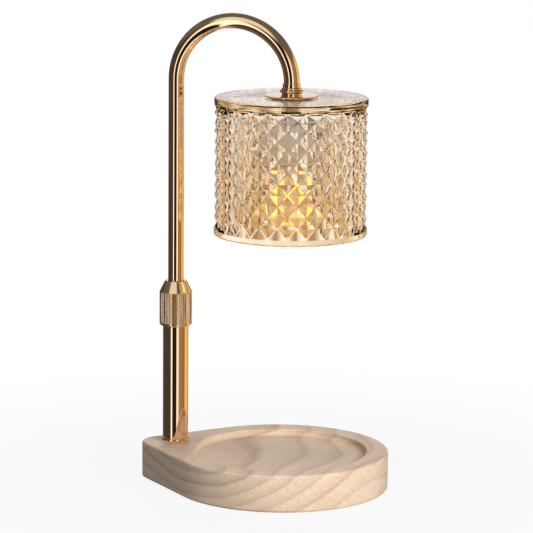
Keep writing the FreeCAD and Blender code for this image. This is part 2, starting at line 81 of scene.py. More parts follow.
def mathNode(tree, operation, first, second=None, third=None):
    node = addNode(tree, "ShaderNodeMath", operation=operation)
    for slot, value in enumerate((first, second, third)):
        if value is None:
            continue
        if isinstance(value, (int, float)):
            node.inputs[slot].default_value = value
        else:
            wire(tree, value, node.inputs[slot])
    return node.outputs[0]


def rampNode(tree, factor, stops, interpolation="LINEAR"):
    node = addNode(tree, "ShaderNodeValToRGB")
    ramp = node.color_ramp
    ramp.interpolation = interpolation
    ramp.elements.remove(ramp.elements[1])
    ramp.elements[0].position = stops[0][0]
    ramp.elements[0].color = (*stops[0][1], 1.0)
    for position, colour in stops[1:]:
        ramp.elements.new(position).color = (*colour, 1.0)
    wire(tree, factor, node.inputs["Fac"])
    return node.outputs["Color"]


def noiseNode(tree, vector, scale, detail=2.0, roughness=0.5):
    node = addNode(tree, "ShaderNodeTexNoise")
    node.inputs["Scale"].default_value = scale
    node.inputs["Detail"].default_value = detail
    node.inputs["Roughness"].default_value = roughness
    wire(tree, vector, node.inputs["Vector"])
    return node.outputs["Fac"]


def mappingNode(tree, vector, location=(0, 0, 0), rotation=(0, 0, 0), scale=(1, 1, 1)):
    node = addNode(tree, "ShaderNodeMapping")
    node.inputs["Location"].default_value = location
    node.inputs["Rotation"].default_value = rotation
    node.inputs["Scale"].default_value = scale
    wire(tree, vector, node.inputs["Vector"])
    return node.outputs["Vector"]


def bumpNode(tree, height, strength, distance):
    node = addNode(tree, "ShaderNodeBump")
    node.inputs["Strength"].default_value = strength
    node.inputs["Distance"].default_value = distance
    wire(tree, height, node.inputs["Height"])
    return node.outputs["Normal"]


def rangeNode(tree, value, low, high, fromLow=0.0, fromHigh=1.0, smooth=False):
    kind = "SMOOTHSTEP" if smooth else "LINEAR"
    node = addNode(tree, "ShaderNodeMapRange", interpolation_type=kind)
    for socket, level in (("From Min", fromLow), ("From Max", fromHigh), ("To Min", low), ("To Max", high)):
        node.inputs[socket].default_value = level
    wire(tree, value, node.inputs["Value"])
    return node.outputs["Result"]


def mixColour(tree, factor, first, second, blend="MIX"):
    node = addNode(tree, "ShaderNodeMix", data_type="RGBA", blend_type=blend)
    for socket, value in ((node.inputs[0], factor), (node.inputs[6], first), (node.inputs[7], second)):
        if isinstance(value, (int, float)):
            socket.default_value = value
        elif isinstance(value, tuple):
            socket.default_value = (*value, 1.0)
        else:
            wire(tree, value, socket)
    return node.outputs[2]


def lengthNode(tree, vector):
    node = addNode(tree, "ShaderNodeVectorMath", operation="LENGTH")
    wire(tree, vector, node.inputs[0])
    return node.outputs["Value"]


def axesNode(tree, vector):
    node = addNode(tree, "ShaderNodeSeparateXYZ")
    wire(tree, vector, node.inputs[0])
    return node.outputs


def newMaterial(name):
    material = bpy.data.materials.new(name)
    material.use_nodes = True
    tree = material.node_tree
    shader = tree.nodes["Principled BSDF"]
    place = addNode(tree, "ShaderNodeTexCoord").outputs["Object"]
    return material, tree, shader, place


# Wood of the foot: growth rings about a leaning pith, short pores and a thin matt lacquer

woodLook = {
    "pith": (-0.034, 0.0, 0.062),
    "lean": (0.10, 0.16, -0.28),
    "squeeze": (0.55, 0.10, 1.0),
    "ringsPerMetre": 150.0,
    "early": (0.76, 0.615, 0.475),
    "middle": (0.64, 0.465, 0.335),
    "late": (0.38, 0.25, 0.185),
    "pore": (0.26, 0.14, 0.085),
    "swayScale": 8.0,
    "swayDetail": 0.8,
    "swayReach": (0.034, 0.034, 0.024),
    "raggedScale": 60.0,
    "ragged": 0.14,
    "ringContrast": (0.08, 0.56),
    "patchScale": 19.0,
    "streakStretch": (420.0, 22.0, 640.0),
    "poreTurn": (0.35, 0.5, 0.6),
    "poreStretch": (1500.0, 600.0, 760.0),
    "poreShare": 0.42,
    "rough": (0.42, 0.58),
    "bump": (0.22, 0.0002),
    "specular": 0.45,
    "coat": 0.12,
    "coatRough": 0.35,
}


def woodMaterial():
    material, tree, shader, place = newMaterial("woodLacquered")
    look = woodLook
    centred = mappingNode(tree, place, location=tuple(-v for v in look["pith"]))
    turned = mappingNode(tree, centred, rotation=look["lean"], scale=look["squeeze"])
    sway = addNode(tree, "ShaderNodeTexNoise")
    sway.inputs["Scale"].default_value = look["swayScale"]
    sway.inputs["Detail"].default_value = look["swayDetail"]
    wire(tree, place, sway.inputs["Vector"])
    swayed = addNode(tree, "ShaderNodeVectorMath", operation="MULTIPLY_ADD")
    wire(tree, sway.outputs["Color"], swayed.inputs[0])
    swayed.inputs[1].default_value = look["swayReach"]
    wire(tree, turned, swayed.inputs[2])
    reach = lengthNode(tree, swayed.outputs["Vector"])
    fine = noiseNode(tree, place, look["raggedScale"], 3.0)
    rings = mathNode(tree, "MULTIPLY", reach, look["ringsPerMetre"])
    rings = mathNode(tree, "MULTIPLY_ADD", fine, look["ragged"], rings)
    phase = mathNode(tree, "FRACT", rings)
    whole = mathNode(tree, "FLOOR", rings)
    perRing = addNode(tree, "ShaderNodeTexWhiteNoise", noise_dimensions="1D")
    wire(tree, whole, perRing.inputs["W"])
    grain = rampNode(tree, phase, [
        (0.0, look["early"]),
        (0.25, look["early"]),
        (0.62, look["middle"]),
        (0.84, look["late"]),
        (0.95, look["middle"]),
        (1.0, look["early"]),
    ], "EASE")
    strength = rangeNode(tree, perRing.outputs["Value"], *look["ringContrast"])
    colour = mixColour(tree, strength, look["early"], grain)

    # broad patches, paler and warmer
    patches = noiseNode(tree, place, look["patchScale"])
    patchTint = rampNode(tree, patches, [(0.3, (0.90, 0.87, 0.85)), (0.7, (1.06, 1.04, 1.02))])
    colour = mixColour(tree, 1.0, colour, patchTint, "MULTIPLY")

    # fine streaks along the grain
    along = mappingNode(tree, place, rotation=look["lean"], scale=look["streakStretch"])
    streaks = noiseNode(tree, along, 1.0, 3.0, 0.6)
    streakTint = rampNode(tree, streaks, [(0.35, (0.93, 0.91, 0.89)), (0.62, (1.03, 1.03, 1.03))])
    colour = mixColour(tree, 1.0, colour, streakTint, "MULTIPLY")

    # pores: short dark flecks, thicker in the late wood
    flecks = mappingNode(tree, place, rotation=look["poreTurn"], scale=look["poreStretch"])
    pores = noiseNode(tree, flecks, 1.0, 1.0, 0.4)
    poreMask = rampNode(tree, pores, [(0.66, (0, 0, 0)), (0.735, (1, 1, 1))])
    poreShare = mathNode(tree, "MULTIPLY", poreMask, look["poreShare"])
    colour = mixColour(tree, poreShare, colour, look["pore"])
    wire(tree, colour, shader.inputs["Base Color"])
    wire(tree, rangeNode(tree, streaks, *look["rough"]), shader.inputs["Roughness"])
    depth = mathNode(tree, "MULTIPLY_ADD", poreMask, -1.0, streaks)
    wire(tree, bumpNode(tree, depth, *look["bump"]), shader.inputs["Normal"])
    shader.inputs["Specular IOR Level"].default_value = look["specular"]
    shader.inputs["Coat Weight"].default_value = look["coat"]
    shader.inputs["Coat Roughness"].default_value = look["coatRough"]
    return material


# Metals

metalLook = {
    "gold": {"colour": (0.97, 0.735, 0.475), "deep": (0.93, 0.655, 0.39), "rough": (0.04, 0.08)},
    "collar": {"colour": (0.95, 0.73, 0.48), "deep": (0.88, 0.65, 0.40), "rough": (0.06, 0.10)},
    "plain": {"colour": (0.78, 0.56, 0.25), "deep": (0.66, 0.44, 0.18), "rough": (0.24, 0.38)},
    "plated": {"colour": (0.66, 0.65, 0.62), "deep": (0.50, 0.49, 0.46), "rough": (0.24, 0.42)},
}
metalGrain = {"cloudScale": 45.0, "hairScale": 18.0, "hairDepth": 0.00005}


def metalMaterial(name, look, grainScale=(6.0, 6.0, 1.2), bump=0.002):
    # a polished or plated metal with faint clouding and hairlines
    material, tree, shader, place = newMaterial(name)
    clouds = noiseNode(tree, place, metalGrain["cloudScale"], 3.0)
    wire(tree, mixColour(tree, clouds, look["colour"], look["deep"]), shader.inputs["Base Color"])
    stretched = mappingNode(tree, place, scale=grainScale)
    hairs = noiseNode(tree, stretched, metalGrain["hairScale"], 4.0, 0.65)
    wire(tree, rangeNode(tree, hairs, *look["rough"]), shader.inputs["Roughness"])
    wire(tree, bumpNode(tree, hairs, bump, metalGrain["hairDepth"]), shader.inputs["Normal"])
    shader.inputs["Metallic"].default_value = 1.0
    return material


# Glass of the shade

glassLook = {
    "clear": (0.985, 0.95, 0.895),
    "middle": (0.975, 0.905, 0.79),
    "amber": (0.955, 0.83, 0.62),
    "depthTint": (0.88, 0.60, 0.12),
    "depthPerMetre": 9.0,
    "cloudScale": 30.0,
    "cloudShare": 0.25,
    "rippleScale": 120.0,
    "rippleBump": (0.10, 0.0004),
    "rough": (0.0, 0.03),
    "index": 1.5,
}


def shadeGlassMaterial():
    material, tree, shader, place = newMaterial("amberGlass")
    look = glassLook
    share = rangeNode(tree, axesNode(tree, place)["Z"], 0.0, 1.0, shadeLow.z, shadeHigh.z)
    clouds = noiseNode(tree, place, look["cloudScale"])
    lifted = mathNode(tree, "MULTIPLY_ADD", clouds, look["cloudShare"], share)
    tint = rampNode(tree, lifted, [(0.0, look["amber"]), (0.55, look["middle"]), (1.0, look["clear"])])
    wire(tree, tint, shader.inputs["Base Color"])
    ripple = noiseNode(tree, place, look["rippleScale"])
    wire(tree, rangeNode(tree, ripple, *look["rough"]), shader.inputs["Roughness"])
    wire(tree, bumpNode(tree, ripple, *look["rippleBump"]), shader.inputs["Normal"])
    shader.inputs["IOR"].default_value = look["index"]
    shader.inputs["Transmission Weight"].default_value = 1.0
    absorb = addNode(tree, "ShaderNodeVolumeAbsorption")
    absorb.inputs["Color"].default_value = (*look["depthTint"], 1.0)
    absorb.inputs["Density"].default_value = look["depthPerMetre"]
    wire(tree, absorb.outputs[0], tree.nodes["Material Output"].inputs["Volume"])
    return material


# Bulb's glow and the plain finishes

bulbLook = {
    "burnerColour": (1.0, 0.48, 0.10),
    "burnerStrength": 3.6,
    "lensColour": (1.0, 0.66, 0.25),
    "lensStrength": 1.3,
    "bowlColour": (1.0, 0.55, 0.15),
    "bowlStrength": 0.05,
    "bowlClear": 0.93,
    "lensClear": 0.85,
    "lensReach": 19.0 * mm,
    "dim": 0.72,
    "bodyDim": 0.85,
    "rough": 0.3,
}


def glowMaterial(name, colour, strength, base, scale, clear=0.0, reach=0.0):
    material, tree, shader, place = newMaterial(name)
    mottle = noiseNode(tree, place, scale, 2.0)
    dimmed = tuple(v * bulbLook["dim"] for v in colour)
    wire(tree, mixColour(tree, mottle, colour, dimmed), shader.inputs["Emission Color"])
    darker = tuple(v * bulbLook["bodyDim"] for v in base)
    wire(tree, mixColour(tree, mottle, base, darker), shader.inputs["Base Color"])
    shader.inputs["Emission Strength"].default_value = strength
    if reach:
        # brightest on the axis, dark at this distance from it
        flat = mappingNode(tree, place, location=(-shadeX, 0, 0), scale=(1, 1, 0))
        fade = rangeNode(tree, lengthNode(tree, flat), strength, 0.0, 0.0, reach, True)
        wire(tree, fade, shader.inputs["Emission Strength"])
    shader.inputs["Roughness"].default_value = bulbLook["rough"] * (1.0 - clear)
    shader.inputs["Transmission Weight"].default_value = clear
    return material


plainGrain = {"detail": 4.0, "roughness": 0.6, "depth": 0.1 * mm}


def plainMaterial(name, colour, darker, scale, rough, bump=0.05, clear=0.0):
    # a moulded, sintered or woven finish: two near colours in a fine noise, with its own bump
    material, tree, shader, place = newMaterial(name)
    mottle = noiseNode(tree, place, scale, plainGrain["detail"], plainGrain["roughness"])
    wire(tree, mixColour(tree, mottle, colour, darker), shader.inputs["Base Color"])
    wire(tree, rangeNode(tree, mottle, *rough), shader.inputs["Roughness"])
    wire(tree, bumpNode(tree, mottle, bump, plainGrain["depth"]), shader.inputs["Normal"])
    shader.inputs["Transmission Weight"].default_value = clear
    return material


bulb = bulbLook
metal = metalLook
finishes = {
    "wood": woodMaterial(),
    "pad_foam": plainMaterial(
        "padFoam", (0.035, 0.034, 0.033), (0.016, 0.016, 0.016), 900.0, (0.8, 0.95), 0.5),
    "plated_steel": metalMaterial("platedSteel", metal["plated"], bump=0.06),
    "black_rubber": plainMaterial(
        "blackRubber", (0.028, 0.028, 0.028), (0.014, 0.014, 0.014), 300.0, (0.5, 0.7)),
    "clear_silicone": plainMaterial(
        "milkySilicone", (0.80, 0.80, 0.78), (0.70, 0.70, 0.68), 200.0, (0.35, 0.5), clear=0.5),
    "lead_sheath": plainMaterial(
        "leadSheath", (0.72, 0.64, 0.50), (0.60, 0.52, 0.38), 700.0, (0.5, 0.7), 0.3),
    "gold_brass": metalMaterial("polishedGold", metal["gold"]),
    "plain_brass": metalMaterial("plainBrass", metal["plain"], bump=0.05),
    "nylon": plainMaterial("naturalNylon", (0.82, 0.80, 0.74), (0.74, 0.72, 0.65), 160.0, (0.35, 0.5)),
    "amber_glass": shadeGlassMaterial(),
    "ceramic": plainMaterial(
        "steatite", (0.93, 0.88, 0.79), (0.85, 0.80, 0.70), 420.0, (0.55, 0.75), 0.15),
    "reflector_glass": glowMaterial(
        "dichroicBowl", bulb["bowlColour"], bulb["bowlStrength"], (0.98, 0.90, 0.76), 160.0,
        bulb["bowlClear"]),
    "lens_glass": glowMaterial(
        "litLens", bulb["lensColour"], bulb["lensStrength"], (1.0, 0.92, 0.78), 220.0,
        bulb["lensClear"], bulb["lensReach"]),
    "burner_quartz": glowMaterial(
        "litBurner", bulb["burnerColour"], bulb["burnerStrength"], (1.0, 0.8, 0.5), 90.0),
    "knurled_gold": metalMaterial("knurledGold", metal["collar"], (9.0, 9.0, 1.2), 0.003),
}
slotOfNode = {part["node"]: part["material_slot"] for part in frame["record"]["subparts"]}
for nodeName, cadObject in frame["nodes"].items():
    for materialSlot in cadObject.material_slots:
        materialSlot.material = finishes[slotOfNode[nodeName]]
print("materials ready:", len(finishes))


# Mesh helpers

def finishPiece(name, mesh, node, body, sharpDegrees=28.0, finish=None):
    # turns a mesh into a piece that stands for one CAD node and rides on its body
    slotName = slotOfNode[node]
    mesh.name = name
    mesh.materials.clear()
    mesh.materials.append(finishes[finish or slotName])
    mesh.polygons.foreach_set("use_smooth", [True] * len(mesh.polygons))
    mesh.set_sharp_from_angle(angle=math.radians(sharpDegrees))
    piece = bpy.data.objects.new(name, mesh)
    scene.collection.objects.link(piece)
    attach(piece, body)
    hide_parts(node)
    return piece


def toMesh(shape, name):
    bmesh.ops.recalc_face_normals(shape, faces=shape.faces[:])
    openEdges = sum(1 for edge in shape.edges if len(edge.link_faces) != 2)
    volume = round(shape.calc_volume(signed=True) * 1e6, 3)
    print(name, "faces", len(shape.faces), "open edges", openEdges, "volume", volume, "cm3")
    mesh = bpy.data.meshes.new(name)
    shape.to_mesh(mesh)
    shape.free()
    return mesh


def cornerArc(before, corner, after, radius, steps):
    # points of the arc that rounds one corner of an outline
    before, corner, after = Vector(before), Vector(corner), Vector(after)
    toBefore = (before - corner).normalized()
    toAfter = (after - corner).normalized()
    half = toBefore.angle(toAfter) / 2
    centre = corner + (toBefore + toAfter).normalized() * radius / math.sin(half)
    start = corner + toBefore * radius / math.tan(half) - centre
    end = corner + toAfter * radius / math.tan(half) - centre
    first = math.atan2(start.y, start.x)
    sweep = (math.atan2(end.y, end.x) - first + math.pi) % (2 * math.pi) - math.pi
    points = []
    for k in range(steps + 1):
        angle = first + sweep * k / steps
        points.append((centre.x + radius * math.cos(angle), centre.y + radius * math.sin(angle)))
    return points


def roundedOutline(corners, steps=5):
    # corners are (radius, height, rounding); a rounding of 0 keeps the corner
    points = []
    count = len(corners)
    for k, (r, z, rounding) in enumerate(corners):
        if rounding == 0:
            points.append((r, z))
            continue
        before = corners[k - 1][:2]
        after = corners[(k + 1) % count][:2]
        points.extend(cornerArc(before, (r, z), after, rounding, steps))
    return points


def latheShape(outline, axisX, segments=96):
    # turns a closed outline of (radius, height) about an upright axis; a radius of 0 is a pole
    shape = bmesh.new()
    rings = []
    for r, z in outline:
        if r < 1e-7:
            rings.append([shape.verts.new((axisX, 0, z))])
            continue
        ring = []
        for k in range(segments):
            angle = 2 * math.pi * k / segments
            ring.append(shape.verts.new((axisX + r * math.cos(angle), r * math.sin(angle), z)))
        rings.append(ring)
    for first, second in zip(rings, rings[1:] + rings[:1]):
        if len(first) == 1 and len(second) == 1:
            continue
        for k in range(segments):
            after = (k + 1) % segments
            corners = [
                first[k % len(first)], first[after % len(first)],
                second[after % len(second)], second[k % len(second)],
            ]
            unique = []
            for corner in corners:
                if corner not in unique:
                    unique.append(corner)
            shape.faces.new(unique)
    return shape


def turnedPiece(name, outline, axisX, segments, node, body, sharpDegrees=28.0):
    mesh = toMesh(latheShape(outline, axisX, segments), name)
    return finishPiece(name, mesh, node, body, sharpDegrees)


def turnedBox(node):
    # underside, top and outer radius of an upright turned node
    low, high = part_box(node)
    return low.z, high.z, (high.x - low.x) / 2


def shapeTree(name, inputs):
    tree = bpy.data.node_groups.new(name, "GeometryNodeTree")
    for kind, labels in inputs:
        for label in labels:
            tree.interface.new_socket(label, in_out="INPUT", socket_type="NodeSocket" + kind)
    tree.interface.new_socket("Finish", in_out="INPUT", socket_type="NodeSocketMaterial")
    tree.interface.new_socket("Geometry", in_out="OUTPUT", socket_type="NodeSocketGeometry")
    return tree, addNode(tree, "NodeGroupInput").outputs


def closeTree(tree, geometry, finish):
    real = addNode(tree, "GeometryNodeRealizeInstances")
    wire(tree, geometry, real.inputs[0])
    paint = addNode(tree, "GeometryNodeSetMaterial")
    wire(tree, real.outputs[0], paint.inputs["Geometry"])
    wire(tree, finish, paint.inputs["Material"])
    wire(tree, paint.outputs[0], addNode(tree, "NodeGroupOutput").inputs[0])
    return tree


def runTree(tree, mesh, values):
    # runs a Geometry Nodes tree on a mesh and gives the plain mesh that comes out
    carrier = bpy.data.objects.new("carrier", mesh)
    scene.collection.objects.link(carrier)
    modifier = carrier.modifiers.new("shape", "NODES")
    modifier.node_group = tree
    for item in tree.interface.items_tree:
        if item.in_out == "INPUT" and item.name in values:
            modifier[item.identifier] = values[item.name]
    bpy.context.view_layer.update()
    graph = bpy.context.evaluated_depsgraph_get()
    result = bpy.data.meshes.new_from_object(carrier.evaluated_get(graph))
    carrier.modifiers.remove(modifier)
    bpy.data.objects.remove(carrier)
    return result


# Post and its flange

postShape = {"wall": 1.0 * mm, "edge": 0.2 * mm}
flangeShape = {"bead": 1.15 * mm, "groove": 0.16 * mm, "edge": 0.35 * mm, "gap": 0.02 * mm}


def postTube():
    wall, edge = postShape["wall"], postShape["edge"]
    inner = postRadius - wall
    outline = roundedOutline([
        (inner, postLow.z, 0),
        (postRadius, postLow.z, 0),
        (postRadius, postHigh.z, edge),
        (inner, postHigh.z, edge),
    ], 3)
    return turnedPiece("postTube", outline, postX, 128, "post_tube", "root")


def postFlange():
    # a low ring with a small bead round its top
    look = flangeShape
    low, high, outer = turnedBox("post_flange")
    inner = postRadius + look["gap"]
    beadLow = high - look["bead"]
    outline = roundedOutline([
        (inner, low, 0),
        (outer, low, look["edge"] / 2),
        (outer, beadLow, look["edge"] / 2),
        (outer - look["groove"] * 1.6, beadLow + look["groove"], 0),
        (outer - look["groove"] * 0.4, beadLow + 2 * look["groove"], 0),
        (outer - look["groove"], high, look["edge"]),
        (inner, high, look["groove"] / 2),
    ], 4)
    return turnedPiece("postFlange", outline, postX, 128, "post_flange", "root")


# Clamping collar: the turned body comes from a lathe, and Geometry Nodes press the flutes in

collarShape = {
    "flutes": 54,
    "depth": 0.42 * mm,
    "ridgePower": 1.6,
    "skinShare": 0.97,
    "skirtRound": 0.3 * mm,
    "coneRound": 0.12 * mm,
    "noseRound": 0.35 * mm,
    "boreRound": 0.25 * mm,
    "plainRim": 2.0 * mm,
    "rimRound": 1.6 * mm,
    "coneHeight": 7.2 * mm,
    "noseRadius": 6.9 * mm,
    "runOut": 0.3 * mm,
    "perFlute": 10,
    "skirtBore": 8.55 * mm,
    "noseBore": 5.3 * mm,
    "skirtDepth": 11.15 * mm,
    "headBore": 7.06 * mm,
    "headTop": 21.15 * mm,
    "seatBore": 6.5 * mm,
    "taperLow": 21.6 * mm,
    "taperHigh": 25.3 * mm,
    "taperRadius": 5.85 * mm,
    "noseBoreLow": 26.5 * mm,
}


def fluteTree():
    # moves the skin towards the axis by a wave of the angle, faded out at both ends of the band
    tree, enter = shapeTree("collarFlutes", [
        ("Geometry", ("Geometry",)),
        ("Float", ("Flutes", "Depth", "Band Low", "Band High", "Run Out", "Axis X", "Outer Radius")),
    ])
    axes = axesNode(tree, addNode(tree, "GeometryNodeInputPosition").outputs[0])
    across = mathNode(tree, "SUBTRACT", axes["X"], enter["Axis X"])
    depthways = axes["Y"]
    angle = mathNode(tree, "ARCTAN2", depthways, across)
    square = mathNode(tree, "MULTIPLY", across, across)
    square = mathNode(tree, "MULTIPLY_ADD", depthways, depthways, square)
    distance = mathNode(tree, "SQRT", square)
    wave = mathNode(tree, "COSINE", mathNode(tree, "MULTIPLY", angle, enter["Flutes"]))
    ridge = mathNode(tree, "POWER", mathNode(
        tree, "MULTIPLY_ADD", wave, 0.5, 0.5), collarShape["ridgePower"])
    groove = mathNode(tree, "SUBTRACT", 1.0, ridge)
    fromLow = mathNode(tree, "SUBTRACT", axes["Z"], enter["Band Low"])
    fromHigh = mathNode(tree, "SUBTRACT", enter["Band High"], axes["Z"])
    fade = mathNode(tree, "DIVIDE", mathNode(tree, "MINIMUM", fromLow, fromHigh), enter["Run Out"])
    fade = mathNode(tree, "MAXIMUM", mathNode(tree, "MINIMUM", fade, 1.0), 0.0)
    skin = mathNode(tree, "MULTIPLY", enter["Outer Radius"], collarShape["skinShare"])
    onSkin = mathNode(tree, "GREATER_THAN", distance, skin)
    cut = mathNode(tree, "MULTIPLY", mathNode(tree, "MULTIPLY", groove, fade), enter["Depth"])
    cut = mathNode(tree, "MULTIPLY", cut, onSkin)
    share = mathNode(tree, "DIVIDE", mathNode(tree, "MULTIPLY", cut, -1.0), distance)
    move = addNode(tree, "ShaderNodeCombineXYZ")
    wire(tree, mathNode(tree, "MULTIPLY", across, share), move.inputs["X"])
    wire(tree, mathNode(tree, "MULTIPLY", depthways, share), move.inputs["Y"])
    setPlace = addNode(tree, "GeometryNodeSetPosition")
    wire(tree, enter["Geometry"], setPlace.inputs["Geometry"])
    wire(tree, move.outputs[0], setPlace.inputs["Offset"])
    return closeTree(tree, setPlace.outputs[0], enter["Finish"])


def clampingCollar():
    look = collarShape
    base, top, outer = turnedBox("clamping_collar")
    coneLow = top - look["coneHeight"]
    bandLow = base + look["plainRim"]
    corners = [
        (look["skirtBore"], base, look["skirtRound"]),
        (outer, base, look["rimRound"]),
    ]
    for height in (bandLow, bandLow + look["runOut"], (bandLow + coneLow) / 2, coneLow - look["runOut"]):
        corners.append((outer, height, 0))
    corners += [
        (outer, coneLow, look["coneRound"]),
        (look["noseRadius"], top, look["noseRound"]),
        (look["noseBore"], top, look["boreRound"]),
        (look["noseBore"], base + look["noseBoreLow"], 0),
        (look["taperRadius"], base + look["taperHigh"], 0),
        (look["seatBore"], base + look["taperLow"], 0),
        (look["seatBore"], base + look["headTop"], 0),
        (look["headBore"], base + look["headTop"], 0),
        (look["headBore"], base + look["skirtDepth"], 0),
        (look["skirtBore"], base + look["skirtDepth"], 0),
    ]
    segments = look["flutes"] * look["perFlute"]
    plain = toMesh(latheShape(roundedOutline(corners, 6), postX, segments), "collarBlank")
    fluted = runTree(fluteTree(), plain, {
        "Flutes": float(look["flutes"]),
        "Depth": look["depth"],
        "Band Low": bandLow,
        "Band High": coneLow,
        "Run Out": look["runOut"],
        "Axis X": postX,
        "Outer Radius": outer,
        "Finish": finishes["knurled_gold"],
    })
    return finishPiece("clampingCollar", fluted, "clamping_collar", "collar", 24.0, finish="knurled_gold")


# Swan-neck arm, swept along its own path

armShape = {"wall": 0.8 * mm, "around": 96, "bendSteps": 180, "socket": 3.6 * mm}


def armPath():
    # places and directions along the tube, from its lower end over the bend to the fitting
    path = [(Vector((postX, 0, armLow.z)), Vector((0, 0, 1)))]
    middle = Vector((postX + armReach / 2, 0, bendZ))
    for k in range(armShape["bendSteps"] + 1):
        turn = math.pi * k / armShape["bendSteps"]
        out = Vector((-math.cos(turn), 0, math.sin(turn)))
        path.append((middle + out * armReach / 2, Vector((math.sin(turn), 0, math.cos(turn)))))
    path.append((Vector((shadeX, 0, bendZ - armShape["socket"])), Vector((0, 0, -1))))
    return path


def armTube():
    shape = bmesh.new()
    around = armShape["around"]
    path = armPath()
    loops = []
    for radius, stretch in ((armRadius, path), (armRadius - armShape["wall"], path[::-1])):
        for centre, forward in stretch:
            sideways = Vector((0, 1, 0))
            outwards = forward.cross(sideways)
            ring = []
            for k in range(around):
                angle = 2 * math.pi * k / around
                spoke = outwards * math.cos(angle) + sideways * math.sin(angle)
                ring.append(shape.verts.new(centre + spoke * radius))
            loops.append(ring)
    for first, second in zip(loops, loops[1:] + loops[:1]):
        for k in range(around):
            after = (k + 1) % around
            shape.faces.new([first[k], first[after], second[after], second[k]])
    return finishPiece("armTube", toMesh(shape, "armTube"), "arm_tube", "arm", 40.0)


# Turned fitting and the thin washer under it

# from the bottom up: radius, lower rounding and upper rounding of each step
fittingShape = {
    "steps": [
        (6.3 * mm, 0.15 * mm, 0.45 * mm),
        (7.5 * mm, 0.9 * mm, 0.9 * mm),
        (6.4 * mm, 0.18 * mm, 0.55 * mm),
        (5.6 * mm, 0.16 * mm, 0.22 * mm),
    ],
    "heights": (1.6 * mm, 1.9 * mm, 1.3 * mm),
    "socketRound": 0.12 * mm,
    "socketBore": 5.02 * mm,
    "threadBore": 4.02 * mm,
}


def armEndFitting():
    look = fittingShape
    levels = [fittingLow.z]
    for height in look["heights"]:
        levels.append(levels[-1] + height)
    levels.append(fittingHigh.z)
    top = fittingHigh.z
    socketFloor = bendZ - armShape["socket"]
    corners = [(look["threadBore"], fittingLow.z, 0)]
    for (radius, lowRound, highRound), low, high in zip(look["steps"], levels, levels[1:]):
        corners += [(radius, low, lowRound), (radius, high, highRound)]
    corners += [
        (look["socketBore"], top, look["socketRound"]),
        (look["socketBore"], socketFloor, 0),
        (look["threadBore"], socketFloor, 0),
    ]
    outline = roundedOutline(corners, 6)
    return turnedPiece("armEndFitting", outline, shadeX, 128, "arm_end_fitting", "arm")


washerShape = {"rim": 0.32 * mm, "holeGap": 0.18 * mm}


def capWasher():
    low, high, outer = turnedBox("cap_washer")
    rim = washerShape["rim"]
    hole = fittingShape["threadBore"] + washerShape["holeGap"]
    outline = roundedOutline([
        (hole, low, 0),
        (outer, low, rim),
        (outer, high, rim),
        (hole, high, 0),
    ], 5)
    return turnedPiece("capWasher", outline, shadeX, 160, "cap_washer", "arm")


# Glass shade: Geometry Nodes lay the diamond points round it, and the bands, roof and inside are turned

shadeShape = {
    "columns": 24,
    "phaseDegrees": -2.1,
    "tallRows": 8,
    "tallRow": 7.0 * mm,
    "shortRows": 4,
    "shortRow": 5.9 * mm,
    "lowBand": 4.0 * mm,
    "pointRadius": 48.7 * mm,
    "valleyRadius": 46.5 * mm,
    "bore": 44.5 * mm,
    "roof": 5.0 * mm,
    "edgeRound": 1.2 * mm,
    "rimRound": 0.9 * mm,
    "cornerInside": 6.5 * mm,
    "hole": 4.2 * mm,
    "holeRound": 0.3 * mm,
    "seatMargin": 0.6 * mm,
    "seatGap": 0.03 * mm,
    "valleyWidth": 0.8 * mm,
    "ringSteps": 192,
    "weld": 0.00002,
}


